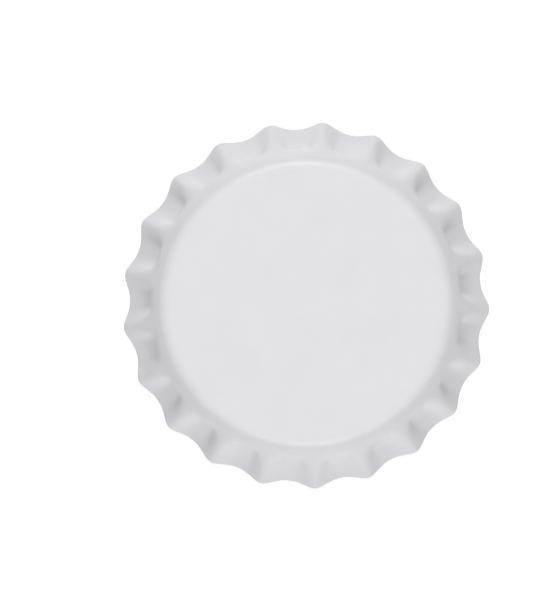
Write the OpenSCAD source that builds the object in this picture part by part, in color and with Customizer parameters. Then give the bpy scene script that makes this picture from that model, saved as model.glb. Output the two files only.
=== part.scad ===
// Crown bottle cap: a shell pressed from thin steel sheet, with a flared and fluted skirt,
// and the sealing liner that is moulded into its top.
// The cap stands on its rim with the panel up, centred on Z, with the crest between two flutes on +X.
// All lengths are millimetres.

/* [Shell] */
// Height from the rim to the top of the panel
cap_height = 6; // [5.6:0.1:6.6]
// Thickness of the sheet
sheet = 0.24; // [0.18:0.01:0.28]
// Clear width inside the skirt, across its upright neck
inside_diameter = 26.75; // [26.4:0.05:27.1]
// Outside radius of the corner between panel and skirt
corner_radius = 1.7; // [1.3:0.1:2]

/* [Flutes] */
// Number of flutes round the skirt
flute_count = 21; // [18:1:24]
// How far the skirt flares out, from its upright neck to the crests at the rim
skirt_flare = 2.435; // [2.2:0.005:2.7]
// Height of the upright neck between the round corner and the flare
neck_height = 0.3; // [0.1:0.05:0.6]
// Depth of a flute at the rim, from crest to floor
flute_depth = 0.65; // [0.5:0.05:0.8]
// Height of the crests above the floors, at the rim
crest_lift = 0.25; // [0.1:0.05:0.5]
// Radius of the fold along a crest, at the rim, from where it tightens to a point at the corner
fold_radius = 1.8; // [1.4:0.1:2.2]
// Turn from the top of a fold to the flat flank on each side of it, in degrees
flank_turn = 37; // [34:1:42]

/* [Liner] */
// Thickness of the liner's thin middle
web_thickness = 0.35; // [0.2:0.05:0.6]
// Thickness of the sealing ring round it
ring_thickness = 0.9; // [0.75:0.05:1.2]
// Radius of the two beads that stand out from the sealing ring
bead_radius = 0.3; // [0.2:0.05:0.4]
// Width of the flat land on the sealing ring, between the beads
land_width = 1.4; // [1:0.1:2]
// Width of the ledge on the far side of each bead
ledge_width = 0.1; // [0.05:0.05:0.3]
// How far the liner reaches out under the shell's round corner
corner_lap = 0.5; // [0.3:0.05:0.55]
// Gap between the liner's flat top and the start of the round corner
corner_clearance = 0.1; // [0.05:0.05:0.15]

/* [Hidden] */
$fn = 180;

// How far the skirt is carried on below the rim before it is trimmed
overrun = 1;

// The round of a fold is made of this many narrow flats on each side of its top.
fold_flats = 3;

// The half section of the shell is drawn with radius across and height up.
skirt_radius = inside_diameter / 2 + sheet;
crest_radius = skirt_radius + skirt_flare;
crest_end = [crest_radius, crest_lift];
floor_end = [crest_radius - flute_depth, 0];
panel_radius = skirt_radius - corner_radius;
corner = [panel_radius, cap_height - corner_radius];

// The floors of the flutes drop from the corner as an upright neck, then flare out to the rim along an arc.
neck_foot = [skirt_radius, corner.y - neck_height];
flare_chord = floor_end - neck_foot;
flare_radius = flare_chord * flare_chord / (2 * flare_chord.x);
flare_centre = neck_foot + [flare_radius, 0];

// A crest runs straight up from the rim and sinks just under the round of the corner,
// which faces this bearing there, in degrees above the horizontal.
crest_sink = sheet / 8;
sunk_radius = corner_radius - crest_sink;
crest_offset = crest_end - corner;
crest_bearing = atan2(crest_offset.y, crest_offset.x) + acos(sunk_radius / norm(crest_offset));
crest_start = corner + sunk_radius * [cos(crest_bearing), sin(crest_bearing)];
crest_length = norm(crest_end - crest_start);

// The fold is a slim cone with its point at the start of the crest, and the crest runs along the cone.
fold_angle = atan(fold_radius / crest_length);

// The block of a fold runs on past that point, inside the corner, and is as wide as one flute at the rim.
fold_lead = 6 * crest_sink;
half_pitch = crest_radius * tan(180 / flute_count);

// The liner hangs from the underside of the panel.
liner_top = cap_height - sheet;
web_underside = liner_top - web_thickness;
ring_underside = liner_top - ring_thickness;
liner_radius = panel_radius + corner_lap;
outer_bead_circle = liner_radius - ledge_width - bead_radius;
inner_bead_circle = outer_bead_circle - land_width - 2 * bead_radius;
ring_inner_radius = inner_bead_circle - bead_radius - ledge_width;
bevel = corner_lap + corner_clearance;

// Half section of the skirt along the floors of the flutes.
// It is built up from the middle under the panel, the round of the corner, the neck and the flare.
module floor_section(inset) {
    translate([0, -overrun])
        square([panel_radius, cap_height - inset + overrun]);
    translate(corner)
        intersection() {
            circle(corner_radius - inset);
            square(2 * corner_radius);
        }
    translate([panel_radius, neck_foot.y])
        square([corner_radius - inset, neck_height]);
    difference() {
        translate([panel_radius, -overrun])
            square([flare_centre.x - panel_radius, neck_foot.y + overrun]);
        translate(flare_centre)
            circle(flare_radius + inset);
    }
}

// The folded ridge between two flutes, on +X: a block with a flat cut along each side of the fold.
// Flats that all touch one cone lie deeper by the inset when the cone's point moves along its axis.
module ridge(inset) {
    block_length = fold_lead + crest_length + overrun;
    cutter_size = 2 * block_length;
    translate([crest_start.x, 0, crest_start.y])
        rotate([0, 180 + fold_angle - crest_bearing, 0])
            rotate(180)
                difference() {
                    translate([-corner_radius, -half_pitch, -fold_lead])
                        cube([corner_radius + cap_height, 2 * half_pitch, block_length]);
                    translate([0, 0, inset / sin(fold_angle)])
                        for (flat = [-fold_flats : fold_flats])
                            rotate(flat * flank_turn / fold_flats)
                                rotate([0, fold_angle, 0])
                                    translate([0, -cutter_size / 2, -cutter_size / 2])
                                        cube([cutter_size, cutter_size, 2 * cutter_size]);
                }
}

// The outside of the pressed shell, or the face that lies inside it by the inset, carried on below the rim
module pressed_form(inset) {
    rotate_extrude()
        floor_section(inset);
    for (i = [0 : flute_count - 1])
        rotate(i * 360 / flute_count)
            ridge(inset);
}

// Everything below the rim, which lies flat across the floors and rises to the crests
module rim_trim() {
    rim_rise = crest_end - floor_end;
    reach = flare_centre.x + overrun;
    top = rim_rise.y / rim_rise.x * (reach - floor_end.x);
    drop = -2 * cap_height;
    rotate_extrude()
        polygon([[0, drop], [reach, drop], [reach, top], floor_end, [0, 0]]);
}

module shell() {
    color("whitesmoke")
        difference() {
            pressed_form(0);
            pressed_form(sheet);
            rim_trim();
        }
}

module liner() {
    color("lightsteelblue")
        rotate_extrude() {
            polygon([
                [0, web_underside],
                [ring_inner_radius - ring_thickness + web_thickness, web_underside],
                [ring_inner_radius, ring_underside],
                [liner_radius, ring_underside],
                [liner_radius, liner_top - bevel],
                [liner_radius - bevel, liner_top],
                [0, liner_top]
            ]);
            for (bead_circle = [inner_bead_circle, outer_bead_circle])
                translate([bead_circle, ring_underside])
                    circle(bead_radius);
        }
}

shell();
liner();
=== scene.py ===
# %% [markdown]
# # A crown bottle cap, seen from above
# A crown cap is stamped in one stroke from thin steel sheet that was coated white while it was still
# flat. The stroke leaves a flat panel, a round corner and a flared skirt with 21 flutes, and a soft
# sealing liner is moulded into the top afterwards. This lesson models the shell and the liner, gives them
# their finishes, and lights them softly on a white table. The solid model comes first, as a fixed frame
# that everything has to fit.

# %% Load the solid model
import math

import bmesh
import bpy
from mathutils import Matrix, Vector


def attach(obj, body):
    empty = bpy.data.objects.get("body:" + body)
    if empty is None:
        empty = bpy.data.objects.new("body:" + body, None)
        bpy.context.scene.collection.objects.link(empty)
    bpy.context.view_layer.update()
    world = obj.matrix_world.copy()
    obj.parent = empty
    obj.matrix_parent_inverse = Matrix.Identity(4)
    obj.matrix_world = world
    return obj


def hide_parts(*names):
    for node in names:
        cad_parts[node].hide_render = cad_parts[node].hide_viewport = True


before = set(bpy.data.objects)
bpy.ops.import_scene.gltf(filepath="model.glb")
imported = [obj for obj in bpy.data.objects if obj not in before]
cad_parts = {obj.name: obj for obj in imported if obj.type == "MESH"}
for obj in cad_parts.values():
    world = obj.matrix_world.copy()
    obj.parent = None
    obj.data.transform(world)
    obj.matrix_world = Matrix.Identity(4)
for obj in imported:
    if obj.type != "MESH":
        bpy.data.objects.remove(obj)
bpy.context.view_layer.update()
MM = 0.001

# %% [markdown]
# ## The section of the pressed sheet
# Two sizes, taken at each height, give the skirt its form. A crest leaves the round corner early and runs
# straight out to its point at the rim. Between two crests the sheet is pushed in to a flute, which sets
# in softly under the corner, is deepest a third of the way up and gets shallower again where it flares to
# the rim. The sheet is cut square to its face, so the inner edge of the rim hangs lower than the outer
# one, and the outer edge is lifted by that much here. All sizes are in millimetres, and a point of the
# section is a radius and a height.

# %% Sizes of the shell, and where a crest leaves the corner
cap_height = 6.0
sheet = 0.24
panel_radius = 11.68
corner_radius = 1.35
flute_count = 21
crest_end = Vector((16.07, 0.38))
floor_end = Vector((15.40, 0.175))

corner_height = cap_height - corner_radius
corner_centre = Vector((panel_radius, corner_height))
reach = crest_end - corner_centre
crest_bearing = math.atan2(reach.y, reach.x) + math.acos(corner_radius / reach.length)
crest_start = corner_centre + corner_radius * Vector((math.cos(crest_bearing), math.sin(crest_bearing)))
print("crest leaves the corner at radius and height", [round(v, 3) for v in crest_start])

# %% The line of a crest, and the depth of a flute below it
flute_head = 4.95  # height at which a flute sets in
flute_full = 2.1  # height at which it is deepest
full_depth = 1.06  # from the line of the crests


def way_down(height):
    """How far a height is on the way from the start of a crest, which is 0, to its end, which is 1."""
    return (crest_start.y - height) / (crest_start.y - crest_end.y)


def crest_line(height):
    return crest_start.x + (crest_end.x - crest_start.x) * way_down(height)


def smooth_step(part):
    return 3 * part ** 2 - 2 * part ** 3


def flute_depth(height):
    """Depth of a flute under the line of the crests: it sets in below the corner and is soon full."""
    part = min(max((flute_head - height) / (flute_head - flute_full), 0), 1)
    rim_depth = crest_line(floor_end.y) - floor_end.x
    lower = max(flute_full - height, 0) / (flute_full - floor_end.y)
    return full_depth * smooth_step(part) + (rim_depth - full_depth) * lower


depths = [flute_depth(flute_full), flute_depth(floor_end.y)]
print("depth of a flute where it is full and at the rim:", [round(v, 3) for v in depths])

# %% [markdown]
# ## The pleat between them
# Seen from above, the steel goes from floor to crest and back in one soft pleat. High on the skirt the
# floor is broad and the ridge beside it is steep at its foot. At the rim the whole pleat is one rounded
# wave. So there are two curves, and the lower a place is, the more it takes of the second one. Both run
# from 0 in the middle of a flute to 1 on the crest.

# %% Radius of the outside at any height and place across a flute
ridge_toe = 0.45  # place across a flute where the ridge rises from the floor
toe_softness = 0.1
wave_lean = 1.38  # above 1, the wave has a broader floor than crest
rounding = 2.5  # above 1, the rounded wave takes over late, near the rim


def pressed_radius(height, place):
    """Radius of the outside of the skirt; place goes from 0 in the middle of a flute to 1 on the crest."""
    ramp = [math.hypot(at - ridge_toe, toe_softness) + at - ridge_toe for at in (0, place, 1)]
    ridge = (ramp[1] - ramp[0]) / (ramp[2] - ramp[0])
    down = min(max(way_down(height), 0), 1)
    bulge = min(2 - 2 * down, 1)  # on the upper half the ridge is steep at its foot and full above it
    ridge = (1 + bulge) * ridge - bulge * ridge ** 2
    wave = smooth_step(place ** wave_lean)
    rounded = down ** rounding
    share = ridge * (1 - rounded) + wave * rounded
    return crest_line(height) - flute_depth(height) * (1 - share)


rim_radii = [pressed_radius(crest_end.y, 1), pressed_radius(floor_end.y, 0)]
print("radius at the rim, crest and floor:", [round(v, 3) for v in rim_radii])

# %% [markdown]
# ## The shell, ring by ring
# A sheet that is the same all round is easiest to grow from a ring. A circle near the edge of the panel
# is extruded again and again: first down the round corner, where each ring is one plain circle, and then
# down the skirt, where the points of a ring are set by their place across a flute. Twenty points to a
# flute are enough, because a subdivision smooths them later. The flat middle of the panel is filled after
# that, because a subdivision is very slow where hundreds of edges meet in one point.

# %% The first ring
panel_edge = 11.2
POINTS_PER_FLUTE = 20

bpy.ops.object.select_all(action="DESELECT")
bpy.ops.mesh.primitive_circle_add(
    vertices=flute_count * POINTS_PER_FLUTE, radius=panel_edge * MM, location=(0, 0, cap_height * MM))
shell = bpy.context.object
shell.name = "pressed_shell"
bpy.ops.object.transform_apply(location=True, rotation=True, scale=True)
print("ring with", len(shell.data.vertices), "points")

# %% Grow the panel's edge and the round corner
panel_loop = 11.45  # one more ring on the flat, which keeps the subdivision from rounding it
CORNER_STEPS = 6

corner_rings = [(panel_edge, cap_height), (panel_loop, cap_height), (panel_radius, cap_height)]
for part in range(1, CORNER_STEPS + 1):
    bearing = math.pi / 2 + (crest_bearing - math.pi / 2) * part / CORNER_STEPS
    corner_rings.append((panel_radius + corner_radius * math.cos(bearing),
                         corner_height + corner_radius * math.sin(bearing)))
bpy.ops.object.mode_set(mode="EDIT")
bpy.ops.mesh.select_mode(type="VERT")
for (r0, z0), (r1, z1) in zip(corner_rings, corner_rings[1:]):
    bpy.ops.mesh.extrude_edges_move(TRANSFORM_OT_translate={"value": (0, 0, (z1 - z0) * MM)})
    bpy.ops.transform.resize(value=(r1 / r0, r1 / r0, 1), center_override=(0, 0, 0))
print("corner ends at radius and height", [round(v, 3) for v in corner_rings[-1]])

# %% [markdown]
# ## The flutes
# On the press, 21 fingers push the skirt in between the crests. Here each new ring is taken down by a
# share of the way to the rim, and the points of one place across the flutes move together, all round the
# cap at once. So the points are selected by place: those on the open edge, and of these the ones at one
# place in a flute. The rim isn't level: it was a round blank, so the crests end a little higher than the
# floors.

# %% Selecting points by their place
STEP = 2 * math.pi / (flute_count * POINTS_PER_FLUTE)
HALF_FLUTE = POINTS_PER_FLUTE // 2


def select_points(piece, wanted):
    """Selects the points in edit mode for which wanted says yes, and tells where the first one is."""
    bpy.ops.mesh.select_all(action="DESELECT")
    cage = bmesh.from_edit_mesh(piece.data)
    chosen = [point for point in cage.verts if wanted(point)]
    for point in chosen:
        point.select_set(True)
    cage.select_flush(True)
    bmesh.update_edit_mesh(piece.data)
    return chosen[0].co.copy()


def on_outer_edge(point):
    return point.is_boundary and math.hypot(point.co.x, point.co.y) > panel_radius * MM


def steps_from_floor(point):
    """Steps round the ring from the middle of the nearest flute, where it is 0, to the point."""
    step = round(math.atan2(point.co.y, point.co.x) / STEP) % POINTS_PER_FLUTE
    return abs(HALF_FLUTE - step)


edge_point = select_points(shell, on_outer_edge)
print("the open edge is at radius", round(math.hypot(edge_point.x, edge_point.y) / MM, 3), "mm")

# %% Grow the fluted skirt
# Shares of the way from the corner to the rim, closer together where the flutes set in.
skirt_rings = [0.04, 0.09, 0.15, 0.21, 0.27, 0.33, 0.39, 0.45, 0.52, 0.60, 0.70, 0.80, 0.90, 1.0]

rim_heights = []
for steps in range(HALF_FLUTE + 1):
    rise = (pressed_radius(crest_end.y, steps / HALF_FLUTE) - floor_end.x) / (crest_end.x - floor_end.x)
    rim_heights.append(floor_end.y + (crest_end.y - floor_end.y) * max(rise, 0))
for share in skirt_rings:
    select_points(shell, on_outer_edge)
    bpy.ops.mesh.extrude_edges_move(TRANSFORM_OT_translate={"value": (0, 0, 0)})
    for steps, rim_height in enumerate(rim_heights):
        height = crest_start.y + (rim_height - crest_start.y) * share
        old = select_points(shell, lambda point: on_outer_edge(point) and steps_from_floor(point) == steps)
        wider = pressed_radius(height, steps / HALF_FLUTE) * MM / math.hypot(old.x, old.y)
        bpy.ops.transform.resize(value=(wider, wider, 1), center_override=(0, 0, 0))
        bpy.ops.transform.translate(value=(0, 0, height * MM - old.z))
bpy.ops.mesh.select_all(action="SELECT")
bpy.ops.mesh.remove_doubles(threshold=0.001 * MM)
bpy.ops.mesh.normals_make_consistent(inside=False)
bpy.ops.object.mode_set(mode="OBJECT")
print("sheet with", len(shell.data.vertices), "points, face up", shell.data.polygons[0].normal.z > 0)

# %% [markdown]
# ## Smooth skin and closed panel
# A subdivision turns the rings into a smooth skin. The open circle in the middle is then filled with a
# single flat face, as the panel of the real cap is flat, and all faces are turned outwards before the
# sheet gets its thickness, because after that the inner side would be turned round too.

# %% Smooth the rings and fill the panel
smooth = shell.modifiers.new("smooth_skin", "SUBSURF")
smooth.levels = smooth.render_levels = 1
bpy.ops.object.modifier_apply(modifier="smooth_skin")
bpy.ops.object.mode_set(mode="EDIT")
select_points(shell, lambda point: point.is_boundary and point.co.z > corner_height * MM)
bpy.ops.mesh.edge_face_add()
bpy.ops.mesh.select_all(action="SELECT")
bpy.ops.mesh.normals_make_consistent(inside=False)
bpy.ops.object.mode_set(mode="OBJECT")
panel = shell.data.polygons[-1]
print("skin with", len(shell.data.polygons), "faces, the panel facing up:", panel.normal.z > 0)

# %% [markdown]
# ## Finishes
# The shell shows three finishes: white lacquer outside, clear lacquer on tinplate inside, and bare steel
# where the sheet was cut. All of them are drawn by nodes, on the coordinates of the object, so that a
# size in millimetres holds on every face. One small function adds a node, with its settings, and joins it
# to the sockets that feed it. Colours are written as hex values and turned to linear light.


# %% A colour, a new finish, and a node with its settings and links
def linear(hex_colour):
    """An sRGB hex value as a linear colour."""
    parts = [int(hex_colour[i:i + 2], 16) / 255 for i in (1, 3, 5)]
    return tuple(p / 12.92 if p <= 0.04045 else ((p + 0.055) / 1.055) ** 2.4 for p in parts) + (1.0,)


def new_finish(name):
    material = bpy.data.materials.new(name)
    material.use_nodes = True
    material.node_tree.nodes.clear()
    return material


def add_node(material, kind, inputs, **settings):
    """Adds a node; each input is a plain value or the output socket that feeds it."""
    tree = material.node_tree
    made = tree.nodes.new(kind)
    for name, value in settings.items():
        setattr(made, name, value)
    for name, value in inputs.items():
        if isinstance(value, bpy.types.NodeSocket):
            tree.links.new(value, made.inputs[name])
        else:
            made.inputs[name].default_value = value
    return made


print("mid grey in linear light:", round(linear("#808080")[0], 3))

# %% [markdown]
# ### White baked lacquer
# The coil is roller-coated and baked before it is stamped. The film is smooth but not polished: it gives
# the eye broad, soft highlights with no mirror image, and a white that hardly changes from place to
# place. Two noises carry that: a wide one for the thickness of the film, and a fine one for its orange
# peel, which moves the gloss a little and stands up as tiny bumps.

# %% White lacquer for the outside
film_cloud = 2.5  # mm, patches of thicker and thinner film
peel_size = 0.35  # mm, orange peel, drawn coarser than a real one so that it can show
peel_height = 0.008  # mm

lacquer = new_finish("white_baked_lacquer_satin")
coords = add_node(lacquer, "ShaderNodeTexCoord", {})
cloud = add_node(lacquer, "ShaderNodeTexNoise", {
    "Vector": coords.outputs["Object"], "Scale": 1 / (film_cloud * MM), "Detail": 3.0})
peel = add_node(lacquer, "ShaderNodeTexNoise", {
    "Vector": coords.outputs["Object"], "Scale": 1 / (peel_size * MM), "Detail": 2.0})
tone = add_node(lacquer, "ShaderNodeMix", {
    "Factor": cloud.outputs["Fac"], "A": linear("#E4E4E6"), "B": linear("#E9E9EB")}, data_type="RGBA")
gloss = add_node(lacquer, "ShaderNodeMapRange", {
    "Value": peel.outputs["Fac"], "To Min": 0.34, "To Max": 0.44})
bumps = add_node(lacquer, "ShaderNodeBump", {
    "Height": peel.outputs["Fac"], "Strength": 0.25, "Distance": peel_height * MM})
skin = add_node(lacquer, "ShaderNodeBsdfPrincipled", {
    "Base Color": tone.outputs["Result"], "Roughness": gloss.outputs["Result"],
    "Normal": bumps.outputs["Normal"], "IOR": 1.5, "Specular IOR Level": 0.25})
add_node(lacquer, "ShaderNodeOutputMaterial", {"Surface": skin.outputs["BSDF"]})
print(lacquer.name, "has", len(lacquer.node_tree.nodes), "nodes")

# %% [markdown]
# ### Clear lacquer on tinplate
# Inside, the steel keeps its tin, under a thin clear lacquer with a warm tint. It gives the eye a pale
# metal with long, faint rolling lines, and a second, softer sheen from the lacquer on top. A noise that
# is stretched along the direction of rolling makes the lines, and the shader's own coat makes the
# lacquer.

# %% Tinplate for the inside
grain_width = 0.12  # mm, rolling lines, drawn several times as coarse as real ones so that they can show
grain_stretch = 0.04  # the lines are 25 times as long as they are wide

tinplate = new_finish("clear_lacquered_tinplate")
coords = add_node(tinplate, "ShaderNodeTexCoord", {})
turned = add_node(tinplate, "ShaderNodeMapping", {
    "Vector": coords.outputs["Object"], "Scale": (grain_stretch, 1.0, 1.0)})
grain = add_node(tinplate, "ShaderNodeTexNoise", {
    "Vector": turned.outputs["Vector"], "Scale": 1 / (grain_width * MM), "Detail": 4.0})
tone = add_node(tinplate, "ShaderNodeMix", {
    "Factor": grain.outputs["Fac"], "A": linear("#B3AB98"), "B": linear("#D2CBB8")}, data_type="RGBA")
gloss = add_node(tinplate, "ShaderNodeMapRange", {
    "Value": grain.outputs["Fac"], "To Min": 0.24, "To Max": 0.40})
skin = add_node(tinplate, "ShaderNodeBsdfPrincipled", {
    "Base Color": tone.outputs["Result"], "Roughness": gloss.outputs["Result"], "Metallic": 1.0,
    "Coat Weight": 0.6, "Coat Roughness": 0.15})
add_node(tinplate, "ShaderNodeOutputMaterial", {"Surface": skin.outputs["BSDF"]})
print(tinplate.name, "has", len(tinplate.node_tree.nodes), "nodes")

# %% [markdown]
# ### Bare steel at the cut
# The die shears the blank out of the coated coil, so the edge of the sheet is bare. It gives the eye a
# thin grey line, dull and uneven, where the tool tore the last part of the steel. One noise, about half
# as coarse as the sheet is thick, is enough for an edge this narrow.

# %% Sheared steel for the rim
tear_size = 0.10  # mm

steel = new_finish("sheared_steel_edge")
coords = add_node(steel, "ShaderNodeTexCoord", {})
streak = add_node(steel, "ShaderNodeTexNoise", {
    "Vector": coords.outputs["Object"], "Scale": 1 / (tear_size * MM), "Detail": 3.0})
tone = add_node(steel, "ShaderNodeMix", {
    "Factor": streak.outputs["Fac"], "A": linear("#87888A"), "B": linear("#AEB0B2")}, data_type="RGBA")
gloss = add_node(steel, "ShaderNodeMapRange", {
    "Value": streak.outputs["Fac"], "To Min": 0.32, "To Max": 0.52})
skin = add_node(steel, "ShaderNodeBsdfPrincipled", {
    "Base Color": tone.outputs["Result"], "Roughness": gloss.outputs["Result"], "Metallic": 1.0})
add_node(steel, "ShaderNodeOutputMaterial", {"Surface": skin.outputs["BSDF"]})
print(steel.name, "has", len(steel.node_tree.nodes), "nodes")

# %% [markdown]
# ## Thickness, and the cut edge
# Solidify gives the skin the thickness of the sheet, on its inner side only. The three finishes go on
# first, in this order, because Solidify takes the second one for the inside and the third one for the cut
# edge. A very small bevel then takes the knife edge off the cut.

# %% Give the sheet its finishes, thickness and edge
edge_round = 0.03  # mm
INSIDE_FINISH = 1
RIM_FINISH = 2

thick = shell.modifiers.new("sheet_thickness", "SOLIDIFY")
thick.thickness = sheet * MM
thick.offset = -1
thick.use_even_offset = True
thick.material_offset = INSIDE_FINISH
thick.material_offset_rim = RIM_FINISH
cut = shell.modifiers.new("cut_edge", "BEVEL")
cut.width = edge_round * MM
cut.segments = 2
cut.limit_method = "ANGLE"
cut.angle_limit = math.radians(50)
for finish in (lacquer, tinplate, steel):
    shell.data.materials.append(finish)
bpy.ops.object.select_all(action="DESELECT")
shell.select_set(True)
bpy.context.view_layer.objects.active = shell
for name in ("sheet_thickness", "cut_edge"):
    bpy.ops.object.modifier_apply(modifier=name)
bpy.ops.object.shade_smooth_by_angle(angle=math.radians(40))
print("shell with", len(shell.data.polygons), "faces in", len(shell.data.materials), "finishes")


# %% Join the shell to the frame
def triangle_count(piece):
    return sum(len(face.vertices) - 2 for face in piece.data.polygons)


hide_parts("shell")
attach(shell, "root")
print("shell has", triangle_count(shell), "triangles")

# %% [markdown]
# ## The sealing liner
# The liner is a drop of soft compound, pressed out by a shaped punch inside the cap. It is thin in the
# middle and thick where it seals, with two beads round the land that the lip of the bottle meets. It is
# the same all round, so half of its section is drawn as a chain of points and spun about the axis of the
# cap. Its outer edge follows the inside of the shell's round corner, a hair's breadth away from it.

# %% Heights and radii of the section
web_thickness = 0.35
ring_thickness = 0.90
liner_top = cap_height - sheet
web_under = liner_top - web_thickness
ring_under = liner_top - ring_thickness
bead_radius = 0.3
bead_circles = [10.015, 12.015]
liner_radius = 12.415
edge_foot = ring_under + 0.03
edge_top = liner_top - 0.29  # from here the edge follows the round of the corner

# The slope from the thin middle to the ring starts with a soft bend and ends just above its underside.
slope = [(8.95, web_under), (9.065, web_under - 0.03), (9.56, ring_under + 0.05)]

corner_gap = 0.01
lap_radius = corner_radius - sheet - corner_gap
lap_bearing = math.acos((liner_radius - panel_radius) / lap_radius)
print("liner lies between heights", round(ring_under - bead_radius, 3), "and", round(liner_top, 3), "mm")

# %% Draw half of the section
BEAD_STEPS = 12
LAP_STEPS = 5

section = [(0.0, web_under)] + slope
for bead_circle in bead_circles:
    for part in range(BEAD_STEPS + 1):
        swing = math.pi * part / BEAD_STEPS
        section.append((bead_circle - bead_radius * math.cos(swing),
                        ring_under - bead_radius * math.sin(swing)))
section += [(liner_radius, edge_foot), (liner_radius, edge_top)]
for part in range(1, LAP_STEPS + 1):
    bearing = lap_bearing + (math.pi / 2 - lap_bearing) * part / LAP_STEPS
    section.append((panel_radius + lap_radius * math.cos(bearing),
                    corner_height + lap_radius * math.sin(bearing)))
section.append((0.0, section[-1][1]))
print("section of", len(section), "points")

# %% Extrude the chain of points
bpy.ops.object.select_all(action="DESELECT")
bpy.ops.mesh.primitive_plane_add(size=1 * MM, location=(0, 0, 0))
liner = bpy.context.object
liner.name = "moulded_liner"
bpy.ops.object.mode_set(mode="EDIT")
bpy.ops.mesh.select_all(action="SELECT")
bpy.ops.mesh.merge(type="CENTER")
bpy.ops.transform.translate(value=(section[0][0] * MM, 0, section[0][1] * MM))
for (r0, z0), (r1, z1) in zip(section, section[1:]):
    way = ((r1 - r0) * MM, 0, (z1 - z0) * MM)
    bpy.ops.mesh.extrude_vertices_move(TRANSFORM_OT_translate={"value": way})
print("chain with", len(bmesh.from_edit_mesh(liner.data).verts), "points")

# %% Spin it
SPIN_STEPS = 168

bpy.ops.mesh.select_all(action="SELECT")
bpy.ops.mesh.spin(steps=SPIN_STEPS, angle=2 * math.pi, center=(0, 0, 0), axis=(0, 0, 1))
bpy.ops.mesh.select_all(action="SELECT")
bpy.ops.mesh.remove_doubles(threshold=0.002 * MM)
bpy.ops.mesh.normals_make_consistent(inside=False)
bpy.ops.object.mode_set(mode="OBJECT")
bpy.ops.object.shade_smooth_by_angle(angle=math.radians(50))
print("liner has", triangle_count(liner), "triangles")

# %% [markdown]
# ### Moulded compound
# The compound is a soft plastic, off-white and a little translucent. It gives the eye a dull, milky
# surface in which shadows are softened, and fine rings that the turned punch has left in it. A wide noise
# varies the tone and the gloss, a ring-shaped wave stands up as the marks of the punch, and light goes a
# short way into it.

# %% Soft compound for the liner
compound_cloud = 3.0  # mm
ring_spacing = 0.3  # mm, marks of the punch, drawn coarser than real ones so that they can show
ring_height = 0.01  # mm
WAVE_RATE = 20  # the wave node's own factor: at scale 1 its phase turns by 20 radians a metre

compound = new_finish("moulded_soft_liner_compound")
coords = add_node(compound, "ShaderNodeTexCoord", {})
cloud = add_node(compound, "ShaderNodeTexNoise", {
    "Vector": coords.outputs["Object"], "Scale": 1 / (compound_cloud * MM), "Detail": 3.0})
rings = add_node(compound, "ShaderNodeTexWave", {
    "Vector": coords.outputs["Object"], "Scale": 2 * math.pi / (WAVE_RATE * ring_spacing * MM),
    "Distortion": 0.3}, wave_type="RINGS", rings_direction="Z")
tone = add_node(compound, "ShaderNodeMix", {
    "Factor": cloud.outputs["Fac"], "A": linear("#DAD9D0"), "B": linear("#E6E5DD")}, data_type="RGBA")
gloss = add_node(compound, "ShaderNodeMapRange", {
    "Value": cloud.outputs["Fac"], "To Min": 0.42, "To Max": 0.55})
bumps = add_node(compound, "ShaderNodeBump", {
    "Height": rings.outputs["Fac"], "Strength": 0.3, "Distance": ring_height * MM})
skin = add_node(compound, "ShaderNodeBsdfPrincipled", {
    "Base Color": tone.outputs["Result"], "Roughness": gloss.outputs["Result"],
    "Normal": bumps.outputs["Normal"], "IOR": 1.5,
    "Subsurface Weight": 0.25, "Subsurface Radius": (0.5 * MM, 0.45 * MM, 0.35 * MM)})
add_node(compound, "ShaderNodeOutputMaterial", {"Surface": skin.outputs["BSDF"]})
print(compound.name, "has", len(compound.node_tree.nodes), "nodes")

# %% Join the liner to the frame
liner.data.materials.append(compound)
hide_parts("liner")
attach(liner, "root")
print("liner wears", liner.data.materials[0].name)

# %% [markdown]
# ## White table
# The cap lies on a white sheet that is so well lit that it has no edge in the picture. The light itself
# can't be turned up for that, because the white cap would burn out. So the table looks brighter than it
# is to the camera and in reflections only, by a faint glow of its own, and it still takes the shadow of
# the cap. To all other rays it is plain white paper, which throws light back up under the skirt.


# %% What is seen directly, and the table
def seen_directly(material):
    """1 for rays from the camera, also by way of gloss or glass, and 0 for all others."""
    path = add_node(material, "ShaderNodeLightPath", {})
    seen = add_node(material, "ShaderNodeMath", {
        0: path.outputs["Is Camera Ray"], 1: path.outputs["Is Glossy Ray"]}, operation="MAXIMUM")
    seen = add_node(material, "ShaderNodeMath", {
        0: seen.outputs[0], 1: path.outputs["Is Transmission Ray"]}, operation="MAXIMUM")
    return seen.outputs[0]


bpy.ops.object.select_all(action="DESELECT")
bpy.ops.mesh.primitive_plane_add(size=3.0, location=(0, 0, 0))
table = bpy.context.object
table.name = "white_table"
paper = new_finish("white_table_paper")
bounce = add_node(paper, "ShaderNodeBsdfDiffuse", {"Color": linear("#E8E8E8")})
soft = add_node(paper, "ShaderNodeBsdfDiffuse", {"Color": linear("#A0A0A0")})
glow = add_node(paper, "ShaderNodeEmission", {"Color": (1, 1, 1, 1), "Strength": 0.78})
lit = add_node(paper, "ShaderNodeAddShader", {0: soft.outputs[0], 1: glow.outputs[0]})
either = add_node(paper, "ShaderNodeMixShader", {
    0: seen_directly(paper), 1: bounce.outputs[0], 2: lit.outputs[0]})
add_node(paper, "ShaderNodeOutputMaterial", {"Surface": either.outputs[0]})
table.data.materials.append(paper)
print("table is", round(table.dimensions.x, 2), "m wide")

# %% [markdown]
# ## Lamps
# The light and shade on the flutes tell where the lamps of the photograph stood. Renders with one lamp at
# a time were compared with it, and two soft boxes came closest, one behind the cap and one in front of
# it, both about halfway up. A dim white room fills the shadows, and it is plain white only where it is
# seen directly.

# %% Two soft boxes
scene = bpy.context.scene
scene.view_settings.view_transform = "Standard"


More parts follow.
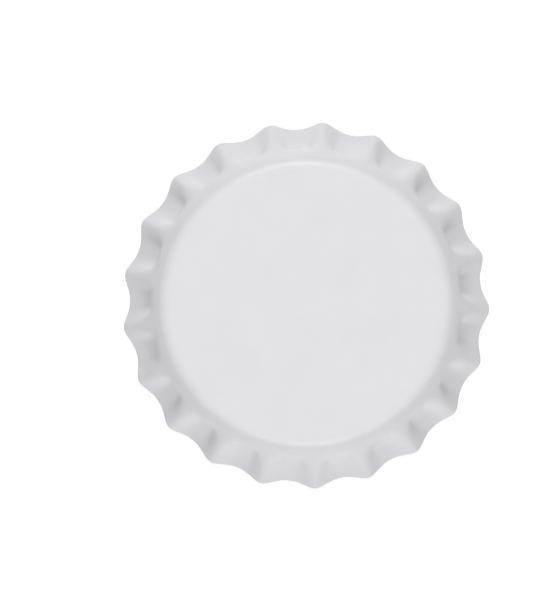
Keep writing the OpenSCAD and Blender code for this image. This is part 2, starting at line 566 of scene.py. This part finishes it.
def add_lamp(name, bearing, elevation, distance, size, power):
    """A square soft box that looks at the cap from a bearing and an elevation in degrees."""
    way = Vector((math.cos(math.radians(bearing)) * math.cos(math.radians(elevation)),
                  math.sin(math.radians(bearing)) * math.cos(math.radians(elevation)),
                  math.sin(math.radians(elevation))))
    bpy.ops.object.light_add(type="AREA", location=way * distance)
    lamp = bpy.context.object
    lamp.name = name
    lamp.rotation_mode = "QUATERNION"
    lamp.rotation_quaternion = way.to_track_quat("Z", "Y")
    lamp.data.size = size
    lamp.data.energy = power
    print(name, "stands at", [round(v, 3) for v in lamp.location])


add_lamp("far_soft_box", bearing=95, elevation=46, distance=0.6, size=0.25, power=2.2)
add_lamp("near_soft_box", bearing=276, elevation=42, distance=0.6, size=0.25, power=1.95)

# %% The white room
world = scene.world or bpy.data.worlds.new("studio")
scene.world = world
world.use_nodes = True
world.node_tree.nodes.clear()
room = add_node(world, "ShaderNodeBackground", {"Color": (1, 1, 1, 1), "Strength": 0.18})
white_back = add_node(world, "ShaderNodeBackground", {"Color": (1, 1, 1, 1), "Strength": 1.0})
either = add_node(world, "ShaderNodeMixShader", {
    0: seen_directly(world), 1: room.outputs[0], 2: white_back.outputs[0]})
add_node(world, "ShaderNodeOutputWorld", {"Surface": either.outputs[0]})
print("room has", len(world.node_tree.nodes), "nodes")

# %% [markdown]
# ## Camera
# The photograph was taken from almost straight above, so the camera looks down from 88 degrees, turned a
# little over a degree to bring the crests to their places in the picture. The cap lies right of the
# middle of the frame, so the camera aims a little to its left. A long lens, from far off, keeps the skirt
# even all round.

# %% Camera above the cap
azimuth, elevation = math.radians(1.31), math.radians(88.0)
distance = 0.6
frame_width = 53.55  # mm, what the picture shows from left to right at the cap
aim_right, aim_up = -2.70, -0.05  # mm, from the middle of the cap to the middle of the picture
SENSOR = 36.0

back = Vector((math.sin(azimuth) * math.cos(elevation),
               -math.cos(azimuth) * math.cos(elevation),
               math.sin(elevation)))
right = Vector((math.cos(azimuth), math.sin(azimuth), 0))
up = back.cross(right)
aim = right * aim_right * MM + up * aim_up * MM
bpy.ops.object.camera_add(location=aim + back * distance)
camera = bpy.context.object
camera.rotation_mode = "QUATERNION"
camera.rotation_quaternion = Matrix((right, up, back)).transposed().to_quaternion()
camera.data.sensor_width = SENSOR
camera.data.lens = SENSOR * distance / (frame_width * MM)
camera.data.clip_start, camera.data.clip_end = 0.01, 10.0
scene.camera = camera
print("lens of", round(camera.data.lens, 1), "mm")
